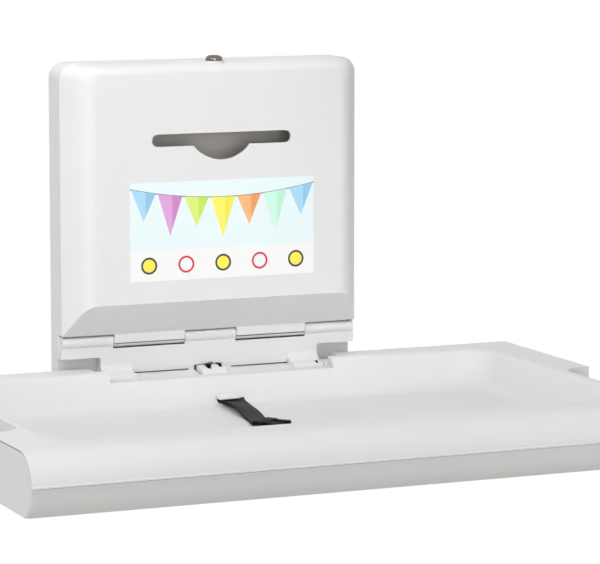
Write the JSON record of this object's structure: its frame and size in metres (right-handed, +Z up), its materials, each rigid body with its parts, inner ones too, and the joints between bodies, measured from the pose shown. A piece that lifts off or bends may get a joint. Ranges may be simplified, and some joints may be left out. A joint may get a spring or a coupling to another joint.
{
  "type": "baby changing station",
  "caption": "Wall-mounted horizontal baby changing station: fold-up tray with a basin, safety strap and bag recesses, below a casing with a hinged, lockable liner dispenser.",
  "frame": {"origin": "on the back face of the wall plate, midway along it, at the level of the open tray's rim", "axes": "+X along the wall to the right as seen from the room, +Y into the wall, +Z up"},
  "size_m": [0.86, 0.588, 0.4704],
  "materials": {
    "white_polyethylene": "moulded, satin with a fine grain",
    "grey_plastic": "moulded, matt",
    "zinc_steel": "zinc plated",
    "polished_steel": "polished",
    "painted_steel": "black paint, satin",
    "lock_brass": "machined",
    "nylon_webbing": "woven, black",
    "black_acetal": "moulded, semi-gloss",
    "natural_acetal": "turned",
    "rubber": "matt",
    "printed_film": "printed and laminated"
  },
  "bodies": {
    "casing": {"door_hinge_rod": "polished_steel", "housing_screw_1": "zinc_steel", "housing_screw_2": "zinc_steel", "housing_screw_3": "zinc_steel", "housing_screw_4": "zinc_steel", "keeper_screw": "zinc_steel", "liner_holder": "grey_plastic", "lock_keeper": "zinc_steel", "rear_housing": "white_polyethylene", "spring_anchor_pin": "polished_steel", "spring_bracket": "zinc_steel", "spring_cylinder": "painted_steel", "stop_pad_left": "rubber", "stop_pad_right": "rubber", "tray_hinge_pin_left": "polished_steel", "tray_hinge_pin_right": "polished_steel", "wall_plate": "zinc_steel"},
    "tray": {"buckle_socket": "black_acetal", "buckle_tongue": "black_acetal", "damper_arm": "white_polyethylene", "damper_arm_pin": "polished_steel", "damper_arm_screw_1": "zinc_steel", "damper_arm_screw_2": "zinc_steel", "hinge_block_left": "white_polyethylene", "hinge_block_right": "white_polyethylene", "hinge_bush_left": "natural_acetal", "hinge_bush_right": "natural_acetal", "shell_screw_1": "zinc_steel", "shell_screw_2": "zinc_steel", "shell_screw_3": "zinc_steel", "shell_screw_4": "zinc_steel", "shell_screw_5": "zinc_steel", "shell_screw_6": "zinc_steel", "shell_screw_7": "zinc_steel", "strap_anchor_front": "zinc_steel", "strap_anchor_rear": "zinc_steel", "strap_front": "nylon_webbing", "strap_rear": "nylon_webbing", "tray_bottom_shell": "white_polyethylene", "tray_top_shell": "white_polyethylene"},
    "door": {"dispenser_door": "white_polyethylene", "door_label": "printed_film", "lock_barrel": "polished_steel", "lock_nut": "zinc_steel"},
    "lock": {"cam_screw": "zinc_steel", "lock_cam": "zinc_steel", "lock_plug": "lock_brass"},
    "rod": {"piston_rod": "polished_steel", "rod_yoke": "zinc_steel"},
    "prong_left": {"buckle_prong_left": "black_acetal"},
    "prong_right": {"buckle_prong_right": "black_acetal"}
  },
  "joints": [
    {"name": "tray_fold", "type": "hinge", "parent": "casing", "child": "tray", "pos_m": [0, -0.054, -0.017], "axis": [-1, 0, 0], "range_deg": [0, 90]},
    {"name": "door_open", "type": "hinge", "parent": "casing", "child": "door", "pos_m": [0, -0.0345, 0.0336], "axis": [-1, 0, 0], "range_deg": [-85, 0]},
    {"name": "lock_turn", "type": "hinge", "parent": "door", "child": "lock", "pos_m": [0, -0.057, 0.3836], "axis": [0, 0, 1], "range_deg": [0, 90]},
    {"name": "rod_slide", "type": "slide", "parent": "casing", "child": "rod", "axis": [0, 0, -1], "range_m": [0, 0.0512]},
    {"name": "prong_left_squeeze", "type": "hinge", "parent": "tray", "child": "prong_left", "pos_m": [0.00949, -0.23627, -0.049], "axis": [0, 0, -1], "range_deg": [0, 7], "stiffness_Nm_per_rad": 0.05},
    {"name": "prong_right_squeeze", "type": "hinge", "parent": "tray", "child": "prong_right", "pos_m": [-0.00897, -0.24825, -0.049], "axis": [0, 0, 1], "range_deg": [0, 7], "stiffness_Nm_per_rad": 0.05}
  ],
  "couplings": [
    {"joint": "rod_slide", "follows": "tray_fold", "m_per_rad": 0.0324}
  ]
}
